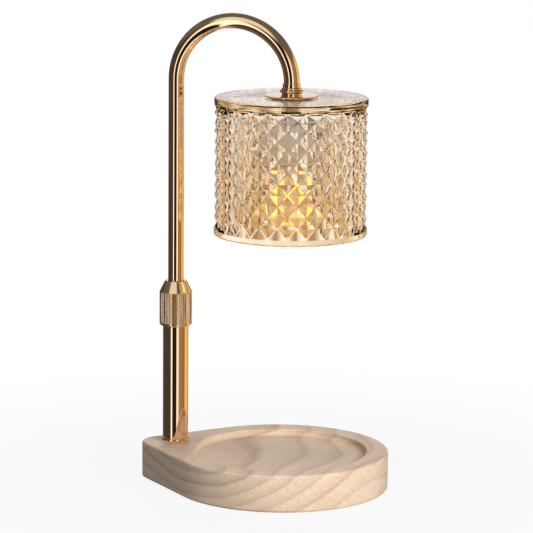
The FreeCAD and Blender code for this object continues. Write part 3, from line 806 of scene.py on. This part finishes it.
def pointsTree():
    # a lattice of four-sided points: every second place gets one, then all are wrapped round the axis
    tree, enter = shapeTree("diamondPoints", [
        ("Int", ("Columns", "Tall Rows", "Short Rows")),
        ("Float", ("Tall Row", "Short Row", "Low", "Axis X", "Phase", "Point Radius", "Valley Radius")),
    ])
    halfColumns = mathNode(tree, "MULTIPLY", enter["Columns"], 2.0)
    rows = mathNode(tree, "ADD", enter["Tall Rows"], enter["Short Rows"])
    lastColumn = mathNode(tree, "SUBTRACT", halfColumns, 1.0)

    grid = addNode(tree, "GeometryNodeMeshGrid")
    wire(tree, lastColumn, grid.inputs["Size X"])
    wire(tree, rows, grid.inputs["Size Y"])
    wire(tree, halfColumns, grid.inputs["Vertices X"])
    wire(tree, mathNode(tree, "ADD", rows, 1.0), grid.inputs["Vertices Y"])
    corner = addNode(tree, "ShaderNodeCombineXYZ")
    wire(tree, mathNode(tree, "MULTIPLY", lastColumn, 0.5), corner.inputs["X"])
    wire(tree, mathNode(tree, "MULTIPLY", rows, 0.5), corner.inputs["Y"])
    lattice = addNode(tree, "GeometryNodeSetPosition")
    wire(tree, grid.outputs["Mesh"], lattice.inputs["Geometry"])
    wire(tree, corner.outputs[0], lattice.inputs["Offset"])

    axes = axesNode(tree, addNode(tree, "GeometryNodeInputPosition").outputs[0])
    total = mathNode(tree, "ADD", axes["X"], axes["Y"])
    odd = mathNode(tree, "GREATER_THAN", mathNode(
        tree, "MODULO", mathNode(tree, "ROUND", total), 2.0), 0.5)
    point = addNode(tree, "GeometryNodeMeshCone", fill_type="NONE")
    point.inputs["Vertices"].default_value = 4
    point.inputs["Radius Top"].default_value = 0.0
    point.inputs["Radius Bottom"].default_value = 1.0
    point.inputs["Depth"].default_value = 1.0
    place = addNode(tree, "GeometryNodeInstanceOnPoints")
    wire(tree, lattice.outputs[0], place.inputs["Points"])
    wire(tree, odd, place.inputs["Selection"])
    wire(tree, point.outputs["Mesh"], place.inputs["Instance"])
    real = addNode(tree, "GeometryNodeRealizeInstances")
    wire(tree, place.outputs[0], real.inputs[0])

    # tips that reach past the first and the last row go
    below = mathNode(tree, "LESS_THAN", axes["Y"], -0.5)
    above = mathNode(tree, "GREATER_THAN", axes["Y"], mathNode(tree, "ADD", rows, 0.5))
    trim = addNode(tree, "GeometryNodeDeleteGeometry", domain="POINT")
    wire(tree, real.outputs[0], trim.inputs["Geometry"])
    wire(tree, mathNode(tree, "MAXIMUM", below, above), trim.inputs["Selection"])

    # x becomes the angle, y the height and z the radius
    turn = mathNode(tree, "DIVIDE", mathNode(tree, "MULTIPLY", axes["X"], 2 * math.pi), halfColumns)
    turn = mathNode(tree, "ADD", turn, enter["Phase"])
    relief = mathNode(tree, "SUBTRACT", enter["Point Radius"], enter["Valley Radius"])
    radius = mathNode(tree, "MULTIPLY_ADD", axes["Z"], relief, enter["Valley Radius"])
    tallPart = mathNode(tree, "MINIMUM", axes["Y"], enter["Tall Rows"])
    shortPart = mathNode(tree, "SUBTRACT", axes["Y"], tallPart)
    height = mathNode(tree, "MULTIPLY_ADD", tallPart, enter["Tall Row"], enter["Low"])
    height = mathNode(tree, "MULTIPLY_ADD", shortPart, enter["Short Row"], height)
    wrapped = addNode(tree, "ShaderNodeCombineXYZ")
    wire(tree, mathNode(tree, "MULTIPLY_ADD", mathNode(
        tree, "COSINE", turn), radius, enter["Axis X"]), wrapped.inputs["X"])
    wire(tree, mathNode(tree, "MULTIPLY", mathNode(tree, "SINE", turn), radius), wrapped.inputs["Y"])
    wire(tree, height, wrapped.inputs["Z"])
    wrap = addNode(tree, "GeometryNodeSetPosition")
    wire(tree, trim.outputs[0], wrap.inputs["Geometry"])
    wire(tree, wrapped.outputs[0], wrap.inputs["Position"])
    weld = addNode(tree, "GeometryNodeMergeByDistance")
    weld.inputs["Distance"].default_value = shadeShape["weld"]
    wire(tree, wrap.outputs[0], weld.inputs["Geometry"])
    return closeTree(tree, weld.outputs[0], enter["Finish"])


def radiusOf(vertex):
    return math.hypot(vertex.co.x - shadeX, vertex.co.y)


def circleLoop(shape, radius, height, steps):
    # a ring of vertices that starts at the lattice's own phase
    phase = math.radians(shadeShape["phaseDegrees"])
    ring = []
    for k in range(steps):
        angle = phase + 2 * math.pi * k / steps
        ring.append(shape.verts.new((shadeX + radius * math.cos(angle), radius * math.sin(angle), height)))
    return ring


def ringStrip(shape, first, second):
    count = len(first)
    for k in range(count):
        after = (k + 1) % count
        shape.faces.new([first[k], first[after], second[after], second[k]])


def angleOf(vertex):
    angle = math.atan2(vertex.co.y, vertex.co.x - shadeX)
    return (angle - math.radians(shadeShape["phaseDegrees"]) + 0.001) % (2 * math.pi)


def openRing(shape, lowHalf):
    # the lattice's own open edge, below or above, in turning order
    middle = (shadeLow.z + shadeHigh.z) / 2
    ring = set()
    for edge in shape.edges:
        if edge.is_boundary:
            ring.update(vertex for vertex in edge.verts if (vertex.co.z < middle) == lowHalf)
    return sorted(ring, key=angleOf)


def zipRings(shape, first, second):
    # triangles between two rings with different numbers of points
    firstAngles = [angleOf(vertex) for vertex in first] + [angleOf(first[0]) + 2 * math.pi]
    secondAngles = [angleOf(vertex) for vertex in second] + [angleOf(second[0]) + 2 * math.pi]
    a = b = 0
    while a < len(first) or b < len(second):
        here = first[a % len(first)]
        there = second[b % len(second)]
        if b == len(second) or (a < len(first) and firstAngles[a + 1] <= secondAngles[b + 1]):
            a += 1
            shape.faces.new([here, first[a % len(first)], there])
        else:
            b += 1
            shape.faces.new([here, second[b % len(second)], there])


def glassShade():
    look = shadeShape
    phase = math.radians(look["phaseDegrees"])
    pointsLow = shadeLow.z + look["lowBand"]
    pointsHigh = pointsLow + look["tallRows"] * look["tallRow"] + look["shortRows"] * look["shortRow"]
    lattice = runTree(pointsTree(), bpy.data.meshes.new("latticeStart"), {
        "Columns": look["columns"],
        "Tall Rows": look["tallRows"],
        "Short Rows": look["shortRows"],
        "Tall Row": look["tallRow"],
        "Short Row": look["shortRow"],
        "Low": pointsLow,
        "Axis X": shadeX,
        "Phase": phase,
        "Point Radius": look["pointRadius"],
        "Valley Radius": look["valleyRadius"],
        "Finish": finishes["amber_glass"],
    })
    shape = bmesh.new()
    shape.from_mesh(lattice)
    bmesh.ops.remove_doubles(shape, verts=shape.verts[:], dist=look["weld"] / 2)
    middle = (look["pointRadius"] + look["valleyRadius"]) / 2
    valleys = []
    for edge in shape.edges:
        if not edge.is_boundary and all(radiusOf(v) < middle for v in edge.verts):
            valleys.append(edge)
    bmesh.ops.bevel(
        shape, geom=valleys, offset=look["valleyWidth"] / 2, offset_type="OFFSET",
        segments=1, profile=0.5, affect="EDGES", clamp_overlap=True)
    lowRing = openRing(shape, True)
    highRing = openRing(shape, False)
    print("lattice faces:", len(shape.faces), "rings:", len(lowRing), len(highRing))

    outer = shadeRadius
    ceiling = shadeHigh.z - look["roof"]
    # a film of air under each gasket, so that the roof mirrors there too
    gap = look["seatGap"]
    seatBelow = turnedBox("lower_gasket")[2] + look["seatMargin"]
    seatAbove = turnedBox("upper_gasket")[2] + look["seatMargin"]
    # outside below the points, the open rim, the bore, the ceiling, the hole, the top and down again
    turned = roundedOutline([
        (outer, pointsLow, 0),
        (outer, shadeLow.z, look["edgeRound"]),
        (look["bore"], shadeLow.z, look["rimRound"]),
        (look["bore"], ceiling, look["cornerInside"]),
        (seatBelow, ceiling, 0),
        (seatBelow, ceiling + gap, 0),
        (look["hole"], ceiling + gap, look["holeRound"]),
        (look["hole"], shadeHigh.z - gap, look["holeRound"]),
        (seatAbove, shadeHigh.z - gap, 0),
        (seatAbove, shadeHigh.z, 0),
        (outer, shadeHigh.z, look["edgeRound"]),
        (outer, pointsHigh, 0),
    ], 6)
    rings = [circleLoop(shape, r, z, look["ringSteps"]) for r, z in turned]
    for first, second in zip(rings, rings[1:]):
        ringStrip(shape, first, second)
    zipRings(shape, lowRing, rings[0])
    zipRings(shape, highRing, rings[-1])
    return finishPiece("glassShade", toMesh(shape, "glassShade"), "glass_shade", "arm", 9.0)


# Bulb

bulbShape = {
    "neck": 5.0 * mm,
    "glass": 1.4 * mm,
    "rim": 4.0 * mm,
    "bulge": 0.14,
    "steps": 24,
    "gap": 0.06 * mm,
    "prisms": 9,
    "prism": 0.25 * mm,
    "prismFlank": 0.15,
    "edge": 0.3 * mm,
    "burnerTip": 3.6 * mm,
    "baseEdge": 1.0 * mm,
}


def bowlArc(start, end, steps):
    # points from the neck out to the rim, bulging outwards
    start, end = Vector(start), Vector(end)
    outwards = Vector((start.y - end.y, end.x - start.x)) * bulbShape["bulge"]
    points = []
    for k in range(steps + 1):
        share = k / steps
        points.append(start.lerp(end, share) + outwards * 4 * share * (1 - share))
    return [(p.x, p.y) for p in points]


def bulbReflector():
    look = bulbShape
    low, high, rimOuter = turnedBox("bulb_reflector")
    neckInner = turnedBox("bulb_base")[2] + look["gap"]
    neckOuter = neckInner + look["glass"]
    neckLow = high - look["neck"]
    rimTop = low + look["rim"]
    rimInner = rimOuter - look["glass"]
    outline = [(neckInner, high), (neckOuter, high)]
    outline += bowlArc((neckOuter, neckLow), (rimOuter, rimTop), look["steps"])
    outline += [(rimOuter, low), (rimInner, low)]
    outline += bowlArc((neckInner, neckLow), (rimInner, rimTop), look["steps"])[::-1]
    return turnedPiece("bulbReflector", outline, shadeX, 96, "bulb_reflector", "bulb")


def bulbLens():
    # the front glass, faintly domed, with concentric prism rings
    low, high, radius = turnedBox("bulb_lens")
    ringCount, flank = bulbShape["prisms"], bulbShape["prismFlank"]
    prismTop = low + bulbShape["prism"]
    outline = [(0, high), (radius, high), (radius, prismTop)]
    for k in range(ringCount, 0, -1):
        outline.append((radius * (k - flank) / ringCount, low))
        outline.append((radius * (k - 1 + flank) / ringCount, prismTop))
    outline.append((0, prismTop))
    return turnedPiece("bulbLens", outline, shadeX, 96, "bulb_lens", "bulb", 20.0)


def bulbBurner():
    low, high, radius = turnedBox("bulb_burner")
    edge, tip = bulbShape["edge"], bulbShape["burnerTip"]
    corners = [(0, high, 0), (radius, high, edge), (radius, low, tip), (0, low, 0)]
    return turnedPiece("bulbBurner", roundedOutline(corners, 8), shadeX, 48, "bulb_burner", "bulb")


def bulbBase():
    low, high, radius = turnedBox("bulb_base")
    edge, top = bulbShape["edge"], bulbShape["baseEdge"]
    corners = [(0, low, 0), (radius, low, edge), (radius, high, top), (0, high, 0)]
    return turnedPiece("bulbBase", roundedOutline(corners, 6), shadeX, 72, "bulb_base", "bulb")


postTube()
postFlange()
clampingCollar()
print("post, flange and collar ready")
armTube()
armEndFitting()
capWasher()
print("arm ready")
glassShade()
bulbReflector()
bulbLens()
bulbBurner()
bulbBase()
print("shade and bulb ready")


# Floor

floorLook = {
    "radius": 3.0,
    "drop": 0.2 * mm,
    "whiteNear": 0.90,
    "whiteFrom": 0.10,
    "whiteTo": 0.40,
    "mirrorFrom": 0.10,
    "mirrorTo": 0.16,
    "rough": 0.9,
    "specular": 0.1,
    "grainScale": 240.0,
    "dark": (0.52, 0.52, 0.52),
    "light": (0.56, 0.56, 0.56),
}


def floorMaterial():
    # pale floor that keeps the shadow near the foot and fades to white further out
    material, tree, shader, place = newMaterial("paleFloor")
    look = floorLook
    shader.inputs["Roughness"].default_value = look["rough"]
    shader.inputs["Specular IOR Level"].default_value = look["specular"]
    grain = noiseNode(tree, place, look["grainScale"], 3.0)
    wire(tree, mixColour(tree, grain, look["dark"], look["light"]), shader.inputs["Base Color"])
    white = addNode(tree, "ShaderNodeEmission")
    white.inputs["Strength"].default_value = 1.0
    reached = lengthNode(tree, place)
    whiteShare = rangeNode(tree, reached, look["whiteNear"], 1.0, look["whiteFrom"], look["whiteTo"], True)
    mirrorShare = rangeNode(tree, reached, 0.0, 1.0, look["mirrorFrom"], look["mirrorTo"], True)
    rays = addNode(tree, "ShaderNodeLightPath")
    seen = mathNode(tree, "MAXIMUM", rays.outputs["Is Camera Ray"], rays.outputs["Is Transmission Ray"])
    mix = addNode(tree, "ShaderNodeMixShader")
    wire(tree, mathNode(tree, "MULTIPLY", whiteShare, seen), mix.inputs[0])
    wire(tree, shader.outputs[0], mix.inputs[1])
    wire(tree, white.outputs[0], mix.inputs[2])
    clear = addNode(tree, "ShaderNodeBsdfTransparent")
    through = addNode(tree, "ShaderNodeMixShader")
    wire(tree, mathNode(tree, "MULTIPLY", rays.outputs["Is Glossy Ray"], mirrorShare), through.inputs[0])
    wire(tree, mix.outputs[0], through.inputs[1])
    wire(tree, clear.outputs[0], through.inputs[2])
    wire(tree, through.outputs[0], tree.nodes["Material Output"].inputs["Surface"])
    return material


def buildFloor():
    shape = bmesh.new()
    bmesh.ops.create_circle(shape, cap_ends=True, segments=96, radius=floorLook["radius"])
    bmesh.ops.translate(shape, verts=shape.verts[:], vec=(0, 0, -floorLook["drop"]))
    mesh = bpy.data.meshes.new("floor")
    shape.to_mesh(mesh)
    shape.free()
    mesh.materials.append(floorMaterial())
    floor = bpy.data.objects.new("floor", mesh)
    scene.collection.objects.link(floor)


# Studio: what metal and glass see round them, as bands by compass direction, and the soft lights

studioLook = {
    "frontDegrees": -74.44,
    "aimHeight": 0.1,
    "diffuse": (0.15, 0.152, 0.158),
    "bands": [
        (-180, 0.90, 0), (-171, 0.85, 0), (-166, 0.16, 0), (-140, 0.07, 0), (-60, 0.055, 0),
        (-42, 0.08, 0), (-39, 1.5, 0), (-30, 1.6, 0), (-27, 0.02, 0), (9, 0.015, 0), (13, 1.5, 0),
        (25, 1.4, 0.2), (31, 0.36, 0.6), (88, 0.27, 1.0), (96, 1.10, 1.3), (138, 1.00, 1.2),
        (148, 0.10, 0), (166, 0.12, 0), (171, 0.85, 0), (180, 0.90, 0),
    ],
    "glassBands": [
        (-180, (1.0, 0.94, 0.86)), (-176, (1.2, 1.2, 1.27)), (-170, (1.15, 1.13, 1.15)),
        (-167, (0.60, 0.38, 0.17)), (-163, (0.56, 0.34, 0.14)), (-160, (1.15, 1.12, 1.12)),
        (-152, (0.66, 0.38, 0.15)), (-145, (1.05, 0.88, 0.68)), (-126, (0.48, 0.27, 0.11)),
        (-98, (1.0, 0.90, 0.78)), (-62, (0.58, 0.36, 0.17)), (-36, (1.0, 0.97, 0.93)),
        (-8, (0.66, 0.52, 0.38)), (14, (1.0, 1.0, 1.0)), (40, (0.85, 0.60, 0.36)),
        (60, (1.0, 1.0, 1.0)), (86, (0.55, 0.30, 0.12)), (112, (1.0, 0.86, 0.68)),
        (132, (0.50, 0.26, 0.10)), (143, (1.05, 0.86, 0.62)), (151, (0.60, 0.34, 0.14)),
        (158, (1.2, 1.2, 1.26)), (163, (1.05, 1.0, 0.96)), (166, (0.40, 0.26, 0.14)),
        (169, (0.46, 0.30, 0.16)), (172, (1.2, 1.2, 1.26)), (176, (0.80, 0.60, 0.38)),
        (180, (1.0, 0.94, 0.86)),
    ],
    "plainTint": (1.0, 0.94, 0.95),
    "warmLoss": (0.0, 0.26, 0.60),
    "overheadFrom": 0.22,
    "overheadTo": 0.42,
    "overhead": (0.14, 0.13, 0.125),
    "overheadGlass": (1.0, 0.98, 0.95),
    "patch": {"azimuth": -22, "height": 40, "edge": 0.87, "core": 0.94, "colour": (0.92, 0.86, 0.82)},
    "key": {
        "azimuth": 28, "height": 24, "distance": 1.5, "size": 0.6, "watts": 21.5,
        "colour": (1.0, 0.98, 0.95),
    },
    "fill": {
        "azimuth": -170, "height": 30, "distance": 1.6, "size": 1.0, "watts": 8.0,
        "colour": (0.95, 0.97, 1.0),
    },
    "top": {
        "azimuth": 0, "height": 86, "distance": 1.4, "size": 1.1, "watts": 4.0,
        "colour": (1.0, 1.0, 1.0),
    },
}


def towards(look):
    # unit vector to a light or a bright patch, from its compass degrees and its height
    azimuth = math.radians(studioLook["frontDegrees"] + look["azimuth"])
    height = math.radians(look["height"])
    flat = math.cos(height)
    return Vector((flat * math.cos(azimuth), flat * math.sin(azimuth), math.sin(height)))


def buildWorld():
    look = studioLook
    world = bpy.data.worlds.new("studio")
    world.use_nodes = True
    scene.world = world
    tree = world.node_tree
    tree.nodes.clear()
    leave = addNode(tree, "ShaderNodeOutputWorld")
    direction = addNode(tree, "ShaderNodeTexCoord").outputs["Generated"]
    axes = axesNode(tree, direction)
    compass = mathNode(tree, "ARCTAN2", axes["Y"], axes["X"])
    turned = mathNode(tree, "SUBTRACT", compass, math.radians(look["frontDegrees"]))
    share = mathNode(tree, "FRACT", mathNode(tree, "MULTIPLY_ADD", turned, 0.5 / math.pi, 0.5))
    stops = []
    for degrees, level, warmth in look["bands"]:
        tints = zip(look["plainTint"], look["warmLoss"])
        tone = tuple(level * (tint - loss * warmth) for tint, loss in tints)
        stops.append(((degrees + 180) / 360, tone))
    bands = rampNode(tree, share, stops)
    up = rangeNode(tree, axes["Z"], 0.0, 1.0, look["overheadFrom"], look["overheadTo"], True)
    mirrored = mixColour(tree, up, bands, look["overhead"])
    patch = look["patch"]
    nearness = addNode(tree, "ShaderNodeVectorMath", operation="DOT_PRODUCT")
    wire(tree, direction, nearness.inputs[0])
    nearness.inputs[1].default_value = towards(patch)
    soft = rangeNode(tree, nearness.outputs["Value"], 0.0, 1.0, patch["edge"], patch["core"], True)
    mirrored = mixColour(tree, soft, mirrored, patch["colour"])
    rays = addNode(tree, "ShaderNodeLightPath")
    inGlass = mathNode(tree, "MAXIMUM", rays.outputs["Is Transmission Ray"], mathNode(
        tree, "GREATER_THAN", rays.outputs["Transmission Depth"], 0.5))
    glassStops = [((degrees + 180) / 360, tone) for degrees, tone in look["glassBands"]]
    glassTone = rampNode(tree, share, glassStops)
    throughGlass = mixColour(tree, up, glassTone, look["overheadGlass"])
    colour = mixColour(tree, rays.outputs["Is Glossy Ray"], look["diffuse"], mirrored)
    colour = mixColour(tree, inGlass, colour, throughGlass)
    colour = mixColour(tree, rays.outputs["Is Camera Ray"], colour, (1.0, 1.0, 1.0))
    sky = addNode(tree, "ShaderNodeBackground")
    wire(tree, colour, sky.inputs["Color"])
    wire(tree, sky.outputs[0], leave.inputs["Surface"])


def aimAt(thing, target):
    thing.rotation_euler = (target - thing.location).to_track_quat("-Z", "Y").to_euler()


def buildLight(name, look):
    light = bpy.data.lights.new(name, "AREA")
    light.shape = "DISK"
    light.size = look["size"]
    light.energy = look["watts"]
    light.color = look["colour"]
    lamp = bpy.data.objects.new(name, light)
    lamp.location = towards(look) * look["distance"]
    aimAt(lamp, Vector((0, 0, studioLook["aimHeight"])))
    lamp.visible_glossy = False
    lamp.visible_camera = False
    lamp.visible_transmission = False
    scene.collection.objects.link(lamp)


# Camera at the photograph's own place

cameraLook = {
    "place": (509.6 * mm, -1830.3 * mm, 496.6 * mm),
    "turnDegrees": 15.56,
    "yawDegrees": -0.29,
    "pitchDegrees": 10.499,
    "rollDegrees": 0.473,
    "lens": 203.81,
    "sensor": 36.0,
    "clipEnd": 20.0,
}


def buildCamera():
    look = cameraLook
    yaw = math.radians(look["yawDegrees"])
    pitch = math.radians(look["pitchDegrees"])
    roll = math.radians(look["rollDegrees"])
    forward = Vector((math.sin(yaw) * math.cos(pitch), math.cos(yaw) * math.cos(pitch), -math.sin(pitch)))
    level = Vector((math.cos(yaw), -math.sin(yaw), 0))
    upright = level.cross(forward)
    right = level * math.cos(roll) + upright * math.sin(roll)
    up = upright * math.cos(roll) - level * math.sin(roll)
    facing = Matrix((right, up, -forward)).transposed()
    turn = Matrix.Rotation(math.radians(look["turnDegrees"]), 3, "Z")
    data = bpy.data.cameras.new("photoCamera")
    data.lens = look["lens"]
    data.sensor_width = look["sensor"]
    data.clip_end = look["clipEnd"]
    camera = bpy.data.objects.new("photoCamera", data)
    camera.matrix_world = Matrix.Translation(look["place"]) @ (turn @ facing).to_4x4()
    scene.collection.objects.link(camera)
    scene.camera = camera


buildFloor()
buildWorld()
for lightName in ("key", "fill", "top"):
    buildLight(lightName + "Light", studioLook[lightName])
buildCamera()
scene.view_settings.view_transform = "Standard"
print("studio and camera ready")
